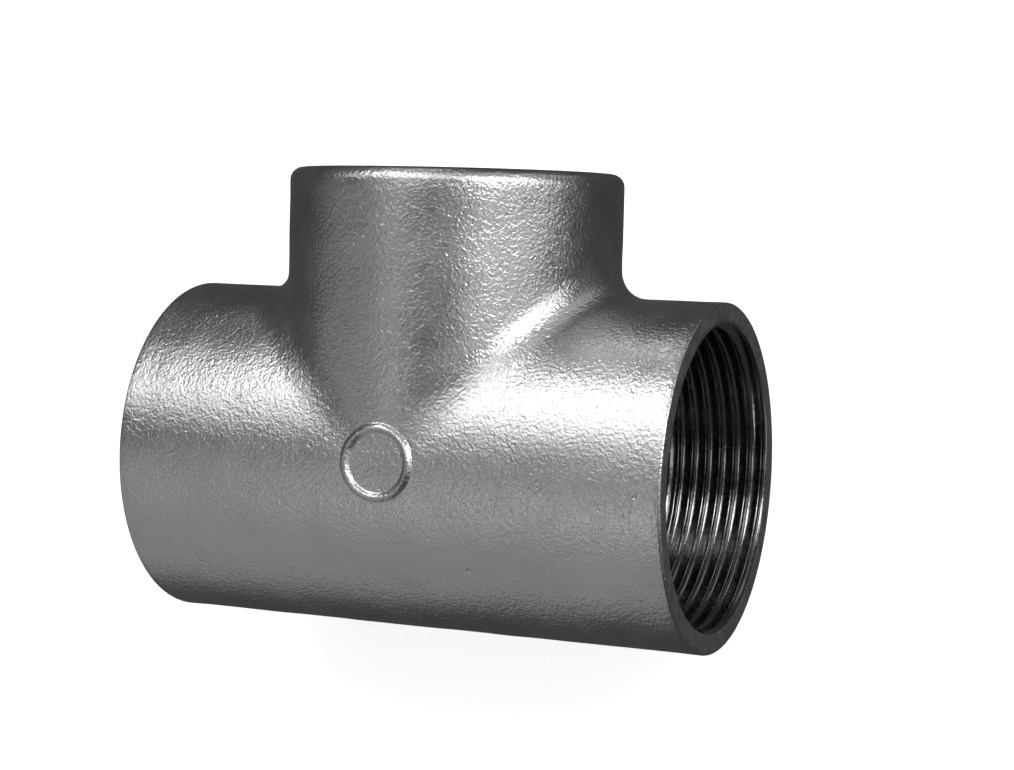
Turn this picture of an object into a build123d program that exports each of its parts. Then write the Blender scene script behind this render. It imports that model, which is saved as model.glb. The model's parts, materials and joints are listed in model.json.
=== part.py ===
from build123d import *
from math import hypot
import os

# Galvanized reducing tee for threaded pipe: one casting, lying on its back.
# The run lies along X, the branch points along +Y, and the casting's front,
# with its raised ring, faces up (+Z). The origin is the middle of the footprint,
# on the surface that the tee lies on. All sizes are in millimetres.

# Pipe threads of the sockets: major diameters, and the pitch that all three share
run_thread_diameter = 47.803
branch_thread_diameter = 41.910
thread_pitch = 2.309
thread_length = 16.5

# Inside: the 45 degree chamfer of the mouths, how far the waterway stands outside the thread's
# major radius, and the plain waterway left between each socket and the passage that crosses it
mouth_chamfer = 0.8
waterway_relief = 0.3
run_land = 4.05
branch_land = 2.0
waterway_corner_radius = 1.5

# Outside: metal over the run's threads, how much slimmer the branch is, and the rounded edges
run_wall = 2.5
branch_inset = 0.4
run_edge_radius = 0.4
branch_lip_radius = 2.0
junction_radius = 5.5

# Raised ring on the front, a little on the branch's side of the run's axis
ring_diameter = 11.7
ring_rim_width = 1.1
ring_height = 0.55
ring_edge_radius = 0.25
ring_offset = 1.8

# Sizes that follow: the socket wall is left at the thread's minor radius,
# and a 45 degree cone runs out from it into the waterway
thread_height = 0.640327 * thread_pitch
run_out = thread_height + waterway_relief
socket_depth = mouth_chamfer + thread_length + run_out
run_waterway_radius = run_thread_diameter / 2 + waterway_relief
branch_waterway_radius = branch_thread_diameter / 2 + waterway_relief
run_centre_to_end = branch_waterway_radius + run_land + socket_depth
branch_centre_to_end = run_waterway_radius + branch_land + socket_depth
run_radius = run_thread_diameter / 2 + run_wall
branch_radius = run_radius - branch_inset

# Where the axes cross: the barrels lie on the ground, and the footprint is centred
axis_height = run_radius
run_axis_y = (run_radius - branch_centre_to_end) / 2


def along_run(distance, radius):
    """A point of the run's half section: distance from the branch's axis, radius from the run's axis."""
    return (distance, run_axis_y + radius, axis_height)


def along_branch(distance, radius):
    """A point of the branch's half section: distance from the run's axis, radius from the branch's axis."""
    return (radius, run_axis_y + distance, axis_height)


run_axis = Axis(along_run(0, 0), (1, 0, 0))
branch_axis = Axis(along_branch(0, 0), (0, 1, 0))


def turned(points, axis):
    """The solid that a closed half section sweeps in one turn about an axis."""
    return revolve(make_face(Polyline(*points, close=True)), axis)


def plain_barrels(growth=0.0):
    """The two plain barrels of the outside, with their radii grown by growth."""
    run = turned(
        [
            along_run(-run_centre_to_end, 0),
            along_run(-run_centre_to_end, run_radius + growth),
            along_run(run_centre_to_end, run_radius + growth),
            along_run(run_centre_to_end, 0),
        ],
        run_axis,
    )
    branch = turned(
        [
            along_branch(0, 0),
            along_branch(0, branch_radius + growth),
            along_branch(branch_centre_to_end, branch_radius + growth),
            along_branch(branch_centre_to_end, 0),
        ],
        branch_axis,
    )
    return run, branch


def joined(run, branch, corner_radius):
    """Run and branch as one form, with a rolling-ball radius along the seam where they meet."""
    whole = run + branch
    seam = [edge for edge in whole.edges() if edge.geom_type not in (GeomType.LINE, GeomType.CIRCLE)]
    return fillet(seam, corner_radius)


def socket_profile(point, centre_to_end, thread_diameter):
    """Half section from an open end inwards: chamfer, thread wall, then the run-out cone."""
    minor_radius = thread_diameter / 2 - thread_height
    thread_start = centre_to_end - mouth_chamfer
    thread_end = thread_start - thread_length
    return [
        point(centre_to_end, 0),
        point(centre_to_end, minor_radius + mouth_chamfer),
        point(thread_start, minor_radius),
        point(thread_end, minor_radius),
        point(thread_end - run_out, minor_radius + run_out),
    ]


def casting():
    """The outside: two barrels with a rolling-ball junction, eased run ends and a rounded branch lip."""
    body = joined(*plain_barrels(), junction_radius)
    ends = body.edges().filter_by(GeomType.CIRCLE)
    run_ends = [edge for edge in ends if abs(abs(edge.center().X) - run_centre_to_end) < run_edge_radius]
    body = fillet(run_ends, run_edge_radius)
    branch_lip = body.edges().filter_by(GeomType.CIRCLE).sort_by(Axis.Y)[-1]
    return fillet(branch_lip, branch_lip_radius)


def bore():
    """The inside: three sockets and the waterway that joins them, with the corner where they cross rounded.

    A ball of the branch's width closes its inner end, so it also fits a branch wider than the run.
    """
    right_socket = socket_profile(along_run, run_centre_to_end, run_thread_diameter)
    left_socket = [(-x, y, z) for x, y, z in reversed(right_socket)]
    branch_socket = socket_profile(along_branch, branch_centre_to_end, branch_thread_diameter)
    branch_inner_end = [along_branch(0, branch_waterway_radius), along_branch(0, 0)]
    run = turned(right_socket + left_socket, run_axis)
    branch = turned(branch_socket + branch_inner_end, branch_axis)
    crossing = Pos(*along_run(0, 0)) * Sphere(branch_waterway_radius)
    return joined(run, branch + crossing, waterway_corner_radius)


def raised_ring():
    """A low round rim on the front that follows the casting's skin, with its two crest edges eased."""
    ring_y = run_axis_y + ring_offset
    centre = Pos(0, ring_y, axis_height)
    outer_radius = ring_diameter / 2
    reach = run_radius + 2 * ring_height
    upward = (Align.CENTER, Align.CENTER, Align.MIN)
    rim = centre * Cylinder(outer_radius, reach, align=upward)
    rim -= centre * Cylinder(outer_radius - ring_rim_width, reach, align=upward)
    crest_skin = joined(*plain_barrels(ring_height), junction_radius - ring_height)
    root_depth = run_wall / 2
    run_root, branch_root = plain_barrels(-root_depth)
    ring = rim & (crest_skin - run_root - branch_root)

    def from_middle(point):
        """How far a point lies from the ring's own axis."""
        return hypot(point.X, point.Y - ring_y)

    lowest_crest = axis_height + run_radius - root_depth / 2
    high_edges = [edge for edge in ring.edges() if edge.center().Z > lowest_crest]
    spread = ring_rim_width / 2
    crest = [edge for edge in high_edges if abs(from_middle(edge @ 0) - from_middle(edge @ 1)) < spread]
    return fillet(crest, ring_edge_radius)


tee_body = casting() - bore() + raised_ring()

os.makedirs("parts", exist_ok=True)
export_step(tee_body, "parts/tee_body.step")
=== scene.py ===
# %% [markdown]
# # A galvanized pipe tee, cell by cell
#
# The object is a cast pipe fitting: a straight run, a branch at right angles, and a pipe thread cut
# into each of the three mouths. It lies on its back with the branch pointing away along +Y.
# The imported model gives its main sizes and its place. This lesson builds the casting again as one
# closed surface with real threads, and then gives it its zinc skin, the camera and the light.

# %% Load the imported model
import json

import bmesh
import bpy
import numpy as np
from mathutils import Matrix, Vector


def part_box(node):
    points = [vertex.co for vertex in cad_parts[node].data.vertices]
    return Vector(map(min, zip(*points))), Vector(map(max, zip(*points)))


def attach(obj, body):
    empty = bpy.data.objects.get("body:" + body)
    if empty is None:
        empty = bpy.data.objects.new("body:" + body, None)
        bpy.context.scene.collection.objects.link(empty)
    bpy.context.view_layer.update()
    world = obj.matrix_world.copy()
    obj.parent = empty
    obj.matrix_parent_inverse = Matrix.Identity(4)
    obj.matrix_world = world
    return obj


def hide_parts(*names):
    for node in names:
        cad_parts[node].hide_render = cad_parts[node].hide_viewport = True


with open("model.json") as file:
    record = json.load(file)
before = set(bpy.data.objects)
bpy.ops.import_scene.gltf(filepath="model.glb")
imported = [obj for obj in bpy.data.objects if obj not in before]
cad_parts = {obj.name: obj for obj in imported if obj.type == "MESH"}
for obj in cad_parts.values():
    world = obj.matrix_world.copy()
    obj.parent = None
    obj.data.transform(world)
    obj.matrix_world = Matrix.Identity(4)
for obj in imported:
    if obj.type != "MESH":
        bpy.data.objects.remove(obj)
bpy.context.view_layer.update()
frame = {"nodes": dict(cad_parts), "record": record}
print("packed nodes:", sorted(frame["nodes"]))

# %% [markdown]
# ## Sizes
#
# Nothing is measured twice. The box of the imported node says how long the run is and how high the
# branch stands, and the three sockets of the record say where the axes lie and how wide the threads
# are. Only what they don't hold is written here: the slimmer branch, the rounded edges, the chamfer
# of the mouths, the pitch and depth of the thread, and how far the waterway stands outside it.
# All lengths are in metres.

# %% Read the sizes
MM = 0.001
sockets = {mount["name"]: mount for mount in frame["record"]["mounts"]}
lowest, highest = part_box("tee_body")
crossing = np.array([0.0, *sockets["run_socket_right"]["pos_m"][1:]])

run_radius = crossing[1] - lowest.y
run_end = highest.x
branch_inset = 0.4 * MM
branch_radius = run_radius - branch_inset
branch_end = highest.y - crossing[1]
run_edge_radius = 0.4 * MM
branch_lip_radius = 2.0 * MM
print("run and branch radius in mm:", round(run_radius / MM, 2), round(branch_radius / MM, 2))

# %% Read the threads
thread_pitch = 2.309 * MM
groove_depth = 0.640327 * thread_pitch
mouth_chamfer = 0.8 * MM
waterway_relief = 0.3 * MM
run_crest_radius = sockets["run_socket_right"]["dims"]["r_mm"] * MM
branch_crest_radius = sockets["branch_socket"]["dims"]["r_mm"] * MM
thread_length = sockets["branch_socket"]["dims"]["length_mm"] * MM
socket_depth = mouth_chamfer + thread_length
run_out = groove_depth + waterway_relief
print("thread crest radii in mm:", round(run_crest_radius / MM, 2), round(branch_crest_radius / MM, 2))

# %% [markdown]
# ## Rows that every grid shares
#
# Each part of the casting is a grid of points, and neighbouring grids meet point on point, so their
# rows are chosen once. Half a turn round the branch has ARC_STEPS steps, which each half of the run
# shares with it, and BACK_STEPS more go round the run behind the branch. At the mouths the rows are
# evenly spaced. A small helper stacks coordinates into a grid of points.

# %% Turns round the run and the branch
ARC_STEPS = 72
BACK_STEPS = 88
run_rows = np.arange(ARC_STEPS + BACK_STEPS)
ring_turns = 2 * np.pi * (run_rows - ARC_STEPS / 2) / (ARC_STEPS + BACK_STEPS)
branch_turns = np.pi * np.arange(2 * ARC_STEPS) / ARC_STEPS - np.pi / 2


def grid(x, y, z):
    """One array of points from three arrays of coordinates that broadcast to the same grid."""
    return np.stack(np.broadcast_arrays(x, y, z), axis=-1)


print("rows round the run and the branch:", len(ring_turns), len(branch_turns))

# %% [markdown]
# ## The corner between the two barrels
#
# Where two pipes of nearly one width cross, the edge between them is a saddle-shaped curve, and the
# casting rounds it. A boolean and a bevel could make that, but the bevel gets ragged where the curve
# closes up at the front. A ball rolling in the corner gives the same form as a formula: its centre
# keeps its radius away from both barrels, and where it touches them the rounding begins and ends.
# A pattern maker fills the flat front and back of such a corner with a wide, soft hollow, so the
# ball grows there.

# %% The rolling ball
junction_radius = 5.5 * MM
widest_junction = 28.0 * MM


def ball_radius(turn, smallest, widest):
    """The rolling ball's radius: the smallest beside the branch, the widest at its front and back.

    It is smallest / root of (cos t squared + (smallest / widest times sin t) squared).
    """
    return smallest / np.sqrt(np.cos(turn) ** 2 + (smallest / widest * np.sin(turn)) ** 2)


sample_turns = np.radians([0, 45, 90])
sample_radii = ball_radius(sample_turns, junction_radius, widest_junction) / MM
print("ball radius in mm beside, between and in front:", sample_radii.round(1))

# %% [markdown]
# ## Two barrels
#
# The ball's path gives the run, the corner and the branch at once, as four grids that share their
# border points. The same function makes the casting's outside and, with smaller radii and a small
# ball of one size, the waterway inside it.

# %% Grids of the crossing barrels
SKIN_COLUMNS = (34, 14, 12)


def crossing_barrels(run, branch, ball_sizes, run_reach, branch_reach, columns):
    """Right run, left run, corner band and branch, each as (points, normals), centred on the crossing.

    At turn t round the branch the ball's centre is at x = c cos t and z = c sin t, where c is the
    branch's radius plus the ball's, and at y = the root of (run radius + ball radius) squared less
    z squared. It touches the run straight towards the run's axis and the branch straight towards
    the branch's. The band between the two touches is the ball's arc. A run grid starts at the touch
    curve, or at x = 0 behind it, and its turns even out on the way to the round end.
    """
    run_columns, branch_columns, corner_columns = columns
    half_turns = np.linspace(-np.pi / 2, np.pi / 2, ARC_STEPS + 1)
    corner = ball_radius(half_turns, *ball_sizes)
    ball_out = branch + corner
    arc = np.arcsin(ball_out / (run + corner) * np.sin(half_turns))
    back = np.linspace(arc[-1], 2 * np.pi - arc[-1], BACK_STEPS + 1)[1:-1]
    edge_turns = np.concatenate([arc, back])[:, None]
    edge_x = np.concatenate([ball_out * np.cos(half_turns), np.zeros(BACK_STEPS - 1)])[:, None]
    u = np.linspace(0, 1, run_columns + 1)[None, :]
    even = u * u * (3 - 2 * u)
    turns = (1 - even) * edge_turns + even * ring_turns[:, None]
    outward = grid(0 * turns, np.cos(turns), np.sin(turns))
    right = run * outward
    right[..., 0] = edge_x + (run_reach - edge_x) * u
    left = right * [-1, 1, 1]

    t = branch_turns[:, None]
    corner = ball_radius(t, *ball_sizes)
    ball_out = branch + corner
    centre_z = ball_out * np.sin(t)
    centre_y = np.sqrt((run + corner) ** 2 - centre_z**2)
    centre = grid(ball_out * np.cos(t), centre_y, centre_z)
    from_run = grid(0 * t, centre_y, centre_z) / (run + corner)[..., None]
    from_branch = grid(np.cos(t), 0 * t, np.sin(t))
    angle = np.arccos(np.clip((from_run * from_branch).sum(-1, keepdims=True), -1, 1))
    v = np.linspace(0, 1, corner_columns + 1)[None, :, None]
    arc_way = (np.sin((1 - v) * angle) * from_run + np.sin(v * angle) * from_branch) / np.sin(angle)
    band = centre - corner[..., None] * arc_way

    w = np.linspace(0, 1, branch_columns + 1)[None, :]
    barrel = grid(branch * np.cos(t), centre_y + (branch_reach - centre_y) * w, branch * np.sin(t))
    side = grid(np.cos(t) + 0 * w, 0 * w, np.sin(t) + 0 * w)
    return [(right, outward), (left, outward), (band, arc_way), (barrel, side)]


run_skin_end = run_end - run_edge_radius
branch_skin_end = branch_end - branch_lip_radius
outside = crossing_barrels(
    run_radius,
    branch_radius,
    (junction_radius, widest_junction),
    run_skin_end,
    branch_skin_end,
    SKIN_COLUMNS,
)
print("outside grids:", [points.shape[:2] for points, normals in outside])

# %% [markdown]
# ## Unevenness of the casting
#
# A sand casting under zinc is never a perfect cylinder: its skin swells and sinks by a few
# hundredths of a millimetre over a centimetre or so, and a highlight wanders with it. A sum of
# a few dozen plane waves in random directions gives such a skin at any point of space at once.
# The random directions come from a seeded generator, so every run makes the same casting. The skin
# only ever sinks below the true size, and it runs out before the faces that a lathe cut flat.

# %% Slow waves
SEED = 7
WAVES = 48
SHORTEST_WAVE, LONGEST_WAVE = 5 * MM, 16 * MM
random = np.random.default_rng(SEED)
wave_ways = random.normal(size=(WAVES, 3))
wave_ways /= np.linalg.norm(wave_ways, axis=1, keepdims=True)
wave_lengths = random.uniform(SHORTEST_WAVE, LONGEST_WAVE, WAVES)
wave_starts = random.uniform(0, 2 * np.pi, WAVES)
wave_sizes = wave_lengths / np.sqrt((wave_lengths**2).sum() / 2)
print("wave lengths in mm:", round(wave_lengths.min() / MM, 1), "to", round(wave_lengths.max() / MM, 1))

# %% The uneven skin
SKIN_DEPTH = 0.07 * MM
FADE_LENGTH = 4 * MM


def ramp(values, width):
    """0 at and below zero, 1 at and above width, with a smooth step of 3 t squared less 2 t cubed between."""
    t = np.clip(values / width, 0, 1)
    return t * t * (3 - 2 * t)


def sunk_skin(points, normals):
    """The points moved inwards by 0 to SKIN_DEPTH, fading to nothing at the mouths.

    The depth follows a sum of sine waves through space, squeezed to -1..1 by a hyperbolic tangent.
    """
    phase = points @ (wave_ways / wave_lengths[:, None]).T * 2 * np.pi + wave_starts
    swell = np.tanh(np.sin(phase) @ wave_sizes)
    from_mouths = np.minimum(run_skin_end - np.abs(points[..., 0]), branch_skin_end - points[..., 1])
    fade = ramp(from_mouths, FADE_LENGTH)
    return points - normals * (SKIN_DEPTH * (0.5 + 0.5 * swell) * fade)[..., None]


skin_grids = [sunk_skin(points, normals) for points, normals in outside]
moves = [skin - points for skin, (points, normals) in zip(skin_grids, outside)]
deepest = max(np.linalg.norm(move, axis=-1).max() for move in moves)
print("deepest hollow of the skin in mm:", round(deepest / MM, 3))

# %% [markdown]
# ## The cut thread
#
# A screw thread is a spiral, so a plain turned section can't make it, and a coil cut out by a boolean
# tends to leave ragged faces. But how deep the cut is at a given depth and turn is a simple formula:
# it depends on how far along the pitch that point lies. So the wall of a socket can be a grid like
# all the others, only with a radius that rises and falls. The flanks are nearly straight, as a tap
# leaves them, and the crests and roots have narrow flats.

# %% Thread formula
TIP_FLAT = 0.08
TIP_EASE = 0.15


def groove(along, screw_turn):
    """How deep the thread is cut, 0 on a crest and 1 in a root, along an axis at a right-handed turn.

    The place in pitches less the turn in whole turns leaves a saw from 0 to 1. Folded in two it is
    a triangle, whose tips are cut flat and then eased by mixing in a smooth step.
    """
    saw = (along / thread_pitch - screw_turn / (2 * np.pi)) % 1.0
    triangle = np.abs(2 * saw - 1)
    cut = np.clip((triangle - TIP_FLAT) / (1 - 2 * TIP_FLAT), 0, 1)
    return (1 - TIP_EASE) * cut + TIP_EASE * cut * cut * (3 - 2 * cut)


one_pitch = np.linspace(0, 1, 9) * thread_pitch
print("depth of the cut over one pitch in mm:", (groove(one_pitch, 0) * groove_depth / MM).round(2))

# %% [markdown]
# ## Mouths and waterway
#
# Each mouth is a half section carried round an axis: a rounded outer edge, a flat face, a small
# chamfer and then the thread. The wall is the wider of the chamfer's cone and the thread, and the
# flat face starts wherever the first groove leaves it, so the mouth's edge isn't quite round.
# Behind the threads lie the two plain barrels of the waterway, which are a little wider.

# %% Mouth grids
THREAD_STEPS_PER_PITCH = 15
FACE_STEPS = 3
EDGE_STEPS = 5
groove_run_out = 1.5 * thread_pitch


def round_run(along, radius, turn):
    """The point at a place along the run's axis, a radius from it and a turn round it."""
    return grid(along, radius * np.cos(turn), radius * np.sin(turn))


def round_branch(along, radius, turn):
    """The point at a place along the branch's axis, a radius from it and a turn round it."""
    return grid(radius * np.cos(turn), along, radius * np.sin(turn))


def mouth(place, turns, screw_turns, end, outer_radius, edge_radius, crest_radius):
    """Edge, face, thread and run-out grids of one mouth, from the outside in. A minus end mirrors the axis.

    The edge is a quarter circle, the face a flat ring, and the wall at depth d is as wide as the
    chamfer, mouth radius less d, or as the thread, crest radius plus groove, whichever is more.
    The groove runs out over the last pitch and a half, and a cone leads on to the waterway.
    """
    side = np.sign(end)
    turns, screw_turns = turns[:, None], screw_turns[:, None]

    quarter = np.linspace(0, np.pi / 2, EDGE_STEPS + 1)[None, :]
    edge_along = end - side * edge_radius * (1 - np.sin(quarter))
    edge = place(edge_along, outer_radius - edge_radius * (1 - np.cos(quarter)), turns)

    steps = round(socket_depth / thread_pitch * THREAD_STEPS_PER_PITCH)
    depth = np.linspace(0, socket_depth, steps + 1)[None, :]
    along = end - side * depth
    cut = groove(along, screw_turns) * ramp(socket_depth - depth, groove_run_out)
    wall_radius = np.maximum(crest_radius + mouth_chamfer - depth, crest_radius + groove_depth * cut)
    wall = place(along, wall_radius, turns)
    inwards = np.linspace(0, 1, FACE_STEPS + 1)[None, :]
    face = place(end, (1 - inwards) * (outer_radius - edge_radius) + inwards * wall_radius[:, :1], turns)
    cone_depth = np.array([[0.0, 1.0]]) * run_out
    cone = place(end - side * (socket_depth + cone_depth), crest_radius + cone_depth, turns)
    return [edge], [face], [wall, cone]


run_mouths = [
    mouth(round_run, ring_turns, ring_turns, end, run_radius, run_edge_radius, run_crest_radius)
    for end in (run_end, -run_end)
]
branch_mouth = mouth(
    round_branch,
    branch_turns,
    np.pi / 2 - branch_turns,
    branch_end,
    branch_radius,
    branch_lip_radius,
    branch_crest_radius,
)
print("thread grid of one run socket:", run_mouths[0][2][0].shape[:2])

# %% Waterway grids
WATERWAY_COLUMNS = (14, 3, 3)
waterway_corner_radius = 1.5 * MM
waterway = crossing_barrels(
    run_crest_radius + run_out,
    branch_crest_radius + run_out,
    (waterway_corner_radius, waterway_corner_radius),
    run_end - socket_depth - run_out,
    branch_end - socket_depth - run_out,
    WATERWAY_COLUMNS,
)
print("waterway grids:", [points.shape[:2] for points, normals in waterway])

# %% [markdown]
# ## From grids to a closed mesh
#
# A grid becomes quads by joining each point to the next column and the next row, and the last row to
# the first. The grids meet point on point, so welding their double points makes one closed shell.
# Blender is asked to turn its faces outwards, and two numbers tell if that worked: the open edges
# must be none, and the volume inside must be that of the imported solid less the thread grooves.

# %% Mesh helpers
WELD_DISTANCE = 0.002 * MM


def mesh_of_grids(name, grids, materials):
    """A mesh of quads from grids whose rows close on themselves, with one material number for each grid."""
    points = np.concatenate([part.reshape(-1, 3) for part in grids]) + crossing
    quads, numbers, first = [], [], 0
    for part, number in zip(grids, materials):
        rows, columns = part.shape[:2]
        here = first + np.arange(rows * columns).reshape(rows, columns)
        beside = np.roll(here, -1, axis=0)
        corners = [here[:, :-1], beside[:, :-1], beside[:, 1:], here[:, 1:]]
        quads.append(np.stack(corners, axis=-1).reshape(-1, 4))
        numbers.append(np.full(len(quads[-1]), number))
        first += rows * columns
    mesh = bpy.data.meshes.new(name)
    mesh.from_pydata(points, [], np.concatenate(quads))
    mesh.polygons.foreach_set("material_index", np.concatenate(numbers).astype(np.int32))
    return mesh


def weld(mesh):
    """Merges the double points, turns the faces outwards and shades them smooth.

    It prints the open edges, of which a closed shell has none, the volume and the triangles.
    """
    shell = bmesh.new()
    shell.from_mesh(mesh)
    bmesh.ops.remove_doubles(shell, verts=shell.verts, dist=WELD_DISTANCE)
    bmesh.ops.recalc_face_normals(shell, faces=shell.faces)
    open_edges = sum(1 for edge in shell.edges if not edge.is_manifold)
    volume = shell.calc_volume(signed=True)
    print(mesh.name, "open edges:", open_edges, "volume in mm3:", round(volume / MM**3))
    shell.to_mesh(mesh)
    shell.free()
    mesh.shade_smooth()
    print(mesh.name, "triangles:", sum(len(face.vertices) - 2 for face in mesh.polygons))


# %% [markdown]
# ## The casting
#
# All grids of the outside, the mouths and the waterway go into one mesh, because the real tee is
# one casting. Each grid carries the number of its finish: the skin and the rounded edges are zinc,
# the flat ends are faced, and everything inside, threads and waterway, gets the dark thread metal,
# whose grey is partly the cut iron's own and partly painted shade of the deep bore.

# %% Weld the casting
ZINC, FACED, THREADED_AND_BORE_SHADE = 0, 1, 2
casting_parts = [(part, ZINC) for part in skin_grids]
for edge, face, socket in (*run_mouths, branch_mouth):
    casting_parts += [(part, ZINC) for part in edge]
    casting_parts += [(part, FACED) for part in face]
    # The sockets and the waterway take the dark thread metal, whose grey is partly painted shade of the bore.
    casting_parts += [(part, THREADED_AND_BORE_SHADE) for part in socket]
casting_parts += [(points, THREADED_AND_BORE_SHADE) for points, normals in waterway]
casting_mesh = mesh_of_grids("tee_casting", *zip(*casting_parts))
weld(casting_mesh)
casting = bpy.data.objects.new("tee_casting", casting_mesh)
bpy.context.scene.collection.objects.link(casting)
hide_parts("tee_body")
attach(casting, "root")

# %% [markdown]
# ## The raised ring on the front
#
# The front of the casting has a small raised ring, a low bead that follows the skin. It is a closed
# profile carried round a circle, and each of its points is lifted from the skin below it, so it sits
# where the run turns into the branch without a gap. For that the skin's front is needed as a height
# over the plane of the two axes.

# %% Height of the front
SMALLEST_REACH = 1e-6 * MM


def front_skin(x, y):
    """The skin's front at (x, y): the run's round, the branch's, or the soft corner between them.

    Where the two heights differ by d, less than w, the corner stands (w - d) squared / 4w above the
    higher one, which is a shallow ball's rise when w is the ball's radius times cos t squared.
    """
    run_front = np.sqrt(np.maximum(run_radius**2 - y**2, 0))
    branch_front = np.where(y > 0, np.sqrt(np.maximum(branch_radius**2 - x**2, 0)), 0)
    across = np.clip(x / branch_radius, -1, 1)
    ball = ball_radius(np.arccos(across), junction_radius, widest_junction)
    reach = ball * across**2 + SMALLEST_REACH
    rise = np.maximum(reach - np.abs(run_front - branch_front), 0) ** 2 / (4 * reach)
    height = np.maximum(run_front, branch_front) + np.where(y > 0, rise, 0)
    on_branch = branch_front > run_front
    normals = np.where(on_branch[..., None], grid(x, 0 * y, height), grid(0 * x, y, height))
    normals /= np.linalg.norm(normals, axis=-1, keepdims=True)
    return sunk_skin(grid(x, y, height), normals)


front_height = front_skin(np.zeros(1), np.zeros(1))[0, 2]
print("front above the crossing in mm:", round(front_height / MM, 2))

# %% Ring grid
RING_RADIUS = 5.15 * MM
RING_FOOT_WIDTH = 2.0 * MM
RING_HEIGHT = 0.5 * MM
RING_ROOT = 0.4 * MM
RING_SINK = 0.06 * MM
RING_OFFSET = 1.8 * MM
RING_STEPS, BEAD_STEPS = 240, 24


def ring_grid():
    """The bead: a raised cosine above the skin, closed below it by a flat root, carried round a circle."""
    turn = 2 * np.pi * np.arange(RING_STEPS)[:, None] / RING_STEPS
    place = np.linspace(1, -1, BEAD_STEPS + 1)[None, :]
    across = np.concatenate([place, [[-1.0, 1.0]]], axis=1) * RING_FOOT_WIDTH / 2
    crown = (0.5 + 0.5 * np.cos(np.pi * place)) * (RING_HEIGHT + RING_SINK) - RING_SINK
    lift = np.concatenate([crown, [[-RING_ROOT, -RING_ROOT]]], axis=1)
    radius = RING_RADIUS + across
    points = front_skin(radius * np.cos(turn), RING_OFFSET + radius * np.sin(turn))
    points[..., 2] += lift
    return np.concatenate([points, points[:, :1]], axis=1)


ring_mesh = mesh_of_grids("casting_ring", [ring_grid()], [ZINC])
weld(ring_mesh)
ring = bpy.data.objects.new("casting_ring", ring_mesh)
bpy.context.scene.collection.objects.link(ring)
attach(ring, "root")

# %% [markdown]
# ## Small tools for the finishes
#
# All three finishes are made the same way: a metal shader, whose grey, roughness and bump each
# follow a noise. The noise is read from Object coordinates, so it is as wide as on the real thing
# and stays on the piece when the piece moves. Most of a noise lies between NOISE_LOW and NOISE_HIGH,
# so the roughness is spread over that range. A Mix node's colour sockets share their names with its
# number sockets, so they are picked by their place in the list.

# %% Node helpers
NOISE_LOW, NOISE_HIGH = 0.3, 0.7
MIX_COLOUR_A, MIX_COLOUR_B, MIX_COLOUR_RESULT = 6, 7, 2


def add_node(tree, kind, **inputs):
    """A new shader node with some of its input sockets set by name."""
    node = tree.nodes.new(kind)
    for name, value in inputs.items():
        node.inputs[name.replace("_", " ")].default_value = value
    return node


def noise(tree, coordinates, size, detail=2.0, roughness=0.5, distortion=0.0):
    """A noise texture whose features are about size metres wide, read from Object coordinates."""
    settings = {"Scale": 1 / size, "Detail": detail, "Roughness": roughness, "Distortion": distortion}
    node = add_node(tree, "ShaderNodeTexNoise", **settings)
    tree.links.new(coordinates, node.inputs["Vector"])
    return node.outputs["Fac"]


def spread(tree, value, low, high, to_low, to_high):
    """Maps low..high of a value to to_low..to_high and holds it there beyond."""
    settings = {"From_Min": low, "From_Max": high, "To_Min": to_low, "To_Max": to_high}
    node = add_node(tree, "ShaderNodeMapRange", **settings)
    tree.links.new(value, node.inputs["Value"])
    return node.outputs["Result"]


def bump(tree, height, depth, under=None):
    """A bump that is depth metres high where the height is 1, laid over another bump's normal if given."""
    node = add_node(tree, "ShaderNodeBump", Strength=1.0, Distance=depth)
    tree.links.new(height, node.inputs["Height"])
    if under:
        tree.links.new(under, node.inputs["Normal"])
    return node.outputs["Normal"]


# %% Metal shader helpers


def metal(name):
    """A new material that is all metal, with its node tree, its shader and Object coordinates."""
    material = bpy.data.materials.new(name)
    material.use_nodes = True
    tree = material.node_tree
    shader = tree.nodes["Principled BSDF"]
    shader.inputs["Metallic"].default_value = 1.0
    coordinates = tree.nodes.new("ShaderNodeTexCoord").outputs["Object"]
    return material, tree, shader, coordinates


def tone(tree, value, greys, shader):
    """Colours the shader between a dark and a light grey by a value from 0 to 1."""
    dark, light = greys
    mix = tree.nodes.new("ShaderNodeMix")
    mix.data_type = "RGBA"
    mix.inputs[MIX_COLOUR_A].default_value = (*dark, 1)
    mix.inputs[MIX_COLOUR_B].default_value = (*light, 1)
    tree.links.new(value, mix.inputs["Factor"])
    tree.links.new(mix.outputs[MIX_COLOUR_RESULT], shader.inputs["Base Color"])


def gloss(tree, value, roughnesses, shader):
    """Sets the shader's roughness, from the first of two where the value is low to the second."""
    roughness = spread(tree, value, NOISE_LOW, NOISE_HIGH, *roughnesses)
    tree.links.new(roughness, shader.inputs["Roughness"])


# %% [markdown]
# ## Zinc
#
# Hot-dip zinc over a sand casting is a satin grey metal. Up close its skin is full of small
# ripples, about a millimetre apart, that break each highlight into short bright streaks, and here
# and there the casting has a pit. All of it is too fine to model, so it is bump: two noises for the
# ripples, and a third that only leaves its rare low spots for the pits. The tone and the gloss
# wander a little too, so no patch is flat.

# %% Zinc material
ZINC_GREYS = ((0.50, 0.50, 0.49), (0.62, 0.625, 0.63))
ZINC_ROUGHNESSES = (0.27, 0.35)
RIPPLE_WIDTH, RIPPLE_DEPTH = 0.9 * MM, 0.085 * MM
GRAIN_WIDTH, GRAIN_DEPTH = 0.45 * MM, 0.065 * MM
PIT_SPACING, PIT_DEPTH = 1.3 * MM, 0.05 * MM
PIT_FLOOR, PIT_RIM = 0.20, 0.27


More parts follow.
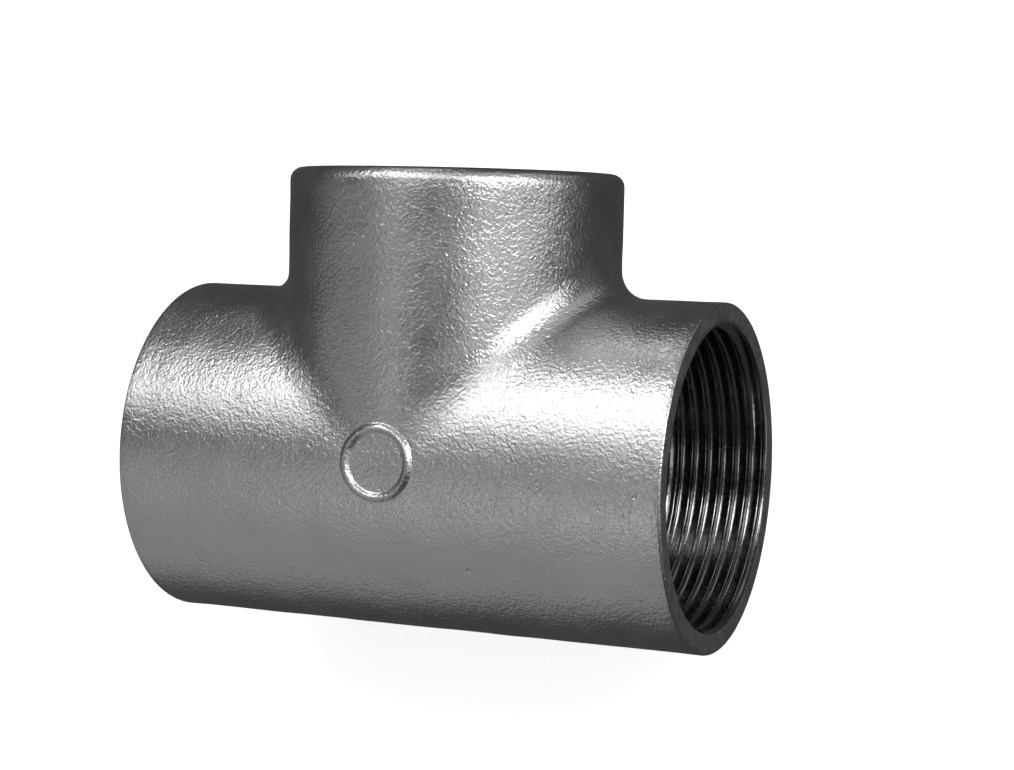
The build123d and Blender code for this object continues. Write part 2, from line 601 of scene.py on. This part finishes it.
def zinc_material():
    """Satin zinc: ripples with a finer grain over them, rare pits, and slow changes of tone and gloss."""
    material, tree, shader, coordinates = metal("zinc")
    tone(tree, noise(tree, coordinates, size=9 * MM, detail=4), ZINC_GREYS, shader)
    gloss(tree, noise(tree, coordinates, size=5 * MM, detail=3), ZINC_ROUGHNESSES, shader)
    ripples = noise(tree, coordinates, RIPPLE_WIDTH, detail=2, roughness=0.6, distortion=0.8)
    normal = bump(tree, ripples, RIPPLE_DEPTH)
    grain = noise(tree, coordinates, GRAIN_WIDTH, detail=1, roughness=0.6)
    normal = bump(tree, grain, GRAIN_DEPTH, normal)
    pits = spread(tree, noise(tree, coordinates, PIT_SPACING, detail=1), PIT_FLOOR, PIT_RIM, 0.0, 1.0)
    normal = bump(tree, pits, PIT_DEPTH, normal)
    tree.links.new(normal, shader.inputs["Normal"])
    return material


zinc = zinc_material()
print("zinc nodes:", len(zinc.node_tree.nodes))

# %% [markdown]
# ## Faced ends and cut threads
#
# The ends were faced on a lathe and the threads cut after casting. The faces are smoother and
# duller than the skin. The threads are bare iron with oil on it, so they are glossier and darker,
# and their grey is set darker still as painted shade of the deep bore, which the waterway shares.
# They show a light only where a flank or a crest happens to face it. Both are the same kind of
# material as the zinc, with other greys and one fine bump each.

# %% Faced end material
FACED_GREYS = ((0.36, 0.36, 0.355), (0.46, 0.46, 0.455))
FACED_ROUGHNESSES = (0.42, 0.55)


def faced_material():
    """A turned face under a thin coat: smoother, duller and darker than the skin."""
    material, tree, shader, coordinates = metal("faced_end")
    tone(tree, noise(tree, coordinates, size=3 * MM, detail=3), FACED_GREYS, shader)
    gloss(tree, noise(tree, coordinates, size=1.5 * MM, detail=2), FACED_ROUGHNESSES, shader)
    normal = bump(tree, noise(tree, coordinates, size=0.8 * MM, detail=3), depth=0.05 * MM)
    tree.links.new(normal, shader.inputs["Normal"])
    return material


faced_end = faced_material()
print("faced end nodes:", len(faced_end.node_tree.nodes))

# %% Cut thread material
# These greys are partly the cut iron's own and partly painted shade, set dark so the deep bore reads as in
# shadow.
THREAD_GREYS_AND_BORE_SHADE = ((0.22, 0.217, 0.213), (0.39, 0.385, 0.38))
THREAD_ROUGHNESSES = (0.14, 0.24)


def thread_and_bore_shade_material():
    """Cut metal with oil on it, glossy, with stains and a faint unevenness; its dark grey is partly painted
    shade of the bore.
    """
    material, tree, shader, coordinates = metal("cut_thread_and_bore_shade")
    tone(tree, noise(tree, coordinates, size=2 * MM, detail=3), THREAD_GREYS_AND_BORE_SHADE, shader)
    gloss(tree, noise(tree, coordinates, size=1.0 * MM, detail=2), THREAD_ROUGHNESSES, shader)
    normal = bump(tree, noise(tree, coordinates, size=0.6 * MM, detail=2), depth=0.03 * MM)
    tree.links.new(normal, shader.inputs["Normal"])
    return material


for material in (zinc, faced_end, thread_and_bore_shade_material()):
    casting_mesh.materials.append(material)
ring_mesh.materials.append(zinc)
print("materials of the casting:", [material.name for material in casting_mesh.materials])

# %% [markdown]
# ## Camera
#
# The camera keeps the view that shows the tee with its branch upwards in the picture. The tee lies
# on its back, so the camera looks down on it from high above. Its place is easiest to say as if
# the tee stood up: turned a little to the right of the front, a few degrees above the run.
# A small function turns such a direction into the frame of the lying tee.

# %% Directions round the standing tee


def lying(x, y, z):
    """A direction given for the tee standing with its branch up, turned to the tee lying on its back."""
    return np.array([x, z, -y])


def standing_direction(turn, tilt):
    """The unit direction at a turn to the right of the front and a tilt above the run, for the lying tee."""
    return lying(np.sin(turn) * np.cos(tilt), -np.cos(turn) * np.cos(tilt), np.sin(tilt))


def face_along(back, roll=0.0):
    """The rotation of a camera or light whose back points along back, with the branch's side up."""
    right = np.cross([0.0, 1.0, 0.0], back)
    right /= np.linalg.norm(right)
    up = np.cross(back, right)
    rolled_right = np.cos(roll) * right + np.sin(roll) * up
    rolled_up = np.cos(roll) * up - np.sin(roll) * right
    return np.stack([rolled_right, rolled_up, back], axis=1)


def put(thing, turned, where):
    """Sets an object's rotation from three axis columns, and its place."""
    matrix = np.eye(4)
    matrix[:3, :3] = turned
    matrix[:3, 3] = where
    thing.matrix_world = Matrix(matrix.tolist())


print("the front of the standing tee points along", standing_direction(0, 0).round(2) + 0.0)

# %% Place the camera
VIEW_TURN = np.radians(23.63)
VIEW_TILT = np.radians(4.05)
VIEW_ROLL = np.radians(1.42)
VIEW_DISTANCE = 352.38 * MM
VIEW_CENTRE = (9.221 * MM, 0.0, 12.288 * MM)
SENSOR_WIDTH = 36.0
PICTURE_WIDTH_PIXELS = 1014
FOCAL_LENGTH_PIXELS = 2270.4

camera_data = bpy.data.cameras.new("camera")
camera_data.sensor_width = SENSOR_WIDTH
camera_data.lens = FOCAL_LENGTH_PIXELS / PICTURE_WIDTH_PIXELS * SENSOR_WIDTH
camera = bpy.data.objects.new("camera", camera_data)
bpy.context.scene.collection.objects.link(camera)
camera_back = standing_direction(VIEW_TURN, VIEW_TILT)
camera_place = crossing + lying(*VIEW_CENTRE) + VIEW_DISTANCE * camera_back
put(camera, face_along(camera_back, VIEW_ROLL), camera_place)
bpy.context.scene.camera = camera
print("camera lens in mm:", round(camera_data.lens, 1))

# %% [markdown]
# ## Light
#
# A curved metal shows its surroundings, so it is lit by rectangles of light that it can mirror, and
# by little else. Each is given by its direction round the standing tee, its two sides in metres and
# its brightness, which doesn't change with its size, so a strip can be made longer without making
# its reflection brighter. Where a light stands decides where its highlight lies on the metal, its
# shape gives the highlight's shape, and a softer look comes from the roughness of the zinc.

# %% Soft box
LIGHT_DISTANCE = 0.6


def softbox(name, turn, tilt, width, height, brightness):
    """A rectangular light that faces the tee from a standing direction, with equal brightness at any size."""
    data = bpy.data.lights.new(name, "AREA")
    data.shape = "RECTANGLE"
    data.size = width
    data.size_y = height
    data.energy = brightness * width * height
    light = bpy.data.objects.new(name, data)
    bpy.context.scene.collection.objects.link(light)
    back = standing_direction(np.radians(turn), np.radians(tilt))
    put(light, face_along(back), crossing + LIGHT_DISTANCE * back)


print("light distance in run lengths:", round(LIGHT_DISTANCE / (2 * run_end), 1))

# %% [markdown]
# ## Where the soft boxes stand
#
# The key light and the long strip beside it make the bright band along the run. The two side
# lights draw the upright band on the branch and the streak down the corner on the right, and the
# bore and end lights are small, because they only have to reach the flanks and crests of the
# threads through the mouth. The lip light and the top strip show the lip and the top of the run, and
# the others fill the front, the right edge and the lower half, which would otherwise mirror an
# almost black room. The picture is shown with the plain Standard view.

# %% Place the lights
softbox("key_light", turn=-30, tilt=50, width=0.2, height=0.2, brightness=15)
softbox("key_strip", turn=-5, tilt=36, width=1.2, height=0.1, brightness=8.5)
softbox("front_soft", turn=-8, tilt=22, width=0.35, height=0.3, brightness=2.5)
softbox("side_light", turn=58, tilt=30, width=0.28, height=0.18, brightness=18)
softbox("side_low", turn=62, tilt=20, width=0.2, height=0.2, brightness=6)
softbox("right_strip", turn=50, tilt=-8, width=0.6, height=0.12, brightness=3.6)
softbox("bore_light", turn=42, tilt=22, width=0.07, height=0.1, brightness=55)
softbox("end_light", turn=86, tilt=15, width=0.12, height=0.1, brightness=15)
softbox("edge_light", turn=105, tilt=-15, width=0.15, height=0.15, brightness=6)
softbox("top_strip", turn=60, tilt=65, width=1.1, height=0.2, brightness=2)
softbox("lip_light", turn=-95, tilt=75, width=0.1, height=0.18, brightness=9)
softbox("front_strip", turn=-15, tilt=-20, width=0.12, height=0.36, brightness=2)
softbox("low_fill", turn=-45, tilt=-40, width=0.9, height=1.1, brightness=0.9)

# %% Dim surroundings
ROOM_GREY = 0.06
world = bpy.data.worlds.new("studio")
world.use_nodes = True
room = world.node_tree.nodes["Background"]
room.inputs["Color"].default_value = (ROOM_GREY, ROOM_GREY, ROOM_GREY, 1)
bpy.context.scene.world = world
bpy.context.scene.view_settings.view_transform = "Standard"
print("room:", [round(value, 2) for value in room.inputs["Color"].default_value[:3]])

# %% [markdown]
# ## Floor
#
# The floor is plain and pale, and glows a little so that it stays near white in the dim room. The
# metal doesn't mirror it, which keeps the far edges dark as in a dark-sided light tent.

# %% Lay the floor
FLOOR_HALF = 1.5
FLOOR_GREY = 0.9
FLOOR_ROUGHNESS = 0.9
FLOOR_GLOW = 0.75
floor_corners = [(x * FLOOR_HALF, y * FLOOR_HALF, 0) for x, y in ((-1, -1), (1, -1), (1, 1), (-1, 1))]
floor_mesh = bpy.data.meshes.new("floor")
floor_mesh.from_pydata(floor_corners, [], [(0, 1, 2, 3)])
floor = bpy.data.objects.new("floor", floor_mesh)
bpy.context.scene.collection.objects.link(floor)
floor.visible_glossy = False

floor_material = bpy.data.materials.new("floor")
floor_material.use_nodes = True
floor_shader = floor_material.node_tree.nodes["Principled BSDF"]
floor_shader.inputs["Base Color"].default_value = (FLOOR_GREY, FLOOR_GREY, FLOOR_GREY, 1)
floor_shader.inputs["Roughness"].default_value = FLOOR_ROUGHNESS
floor_shader.inputs["Specular IOR Level"].default_value = 0.0
floor_shader.inputs["Emission Color"].default_value = (1, 1, 1, 1)
floor_shader.inputs["Emission Strength"].default_value = FLOOR_GLOW
floor_mesh.materials.append(floor_material)
print("side of the floor in m:", 2 * FLOOR_HALF)
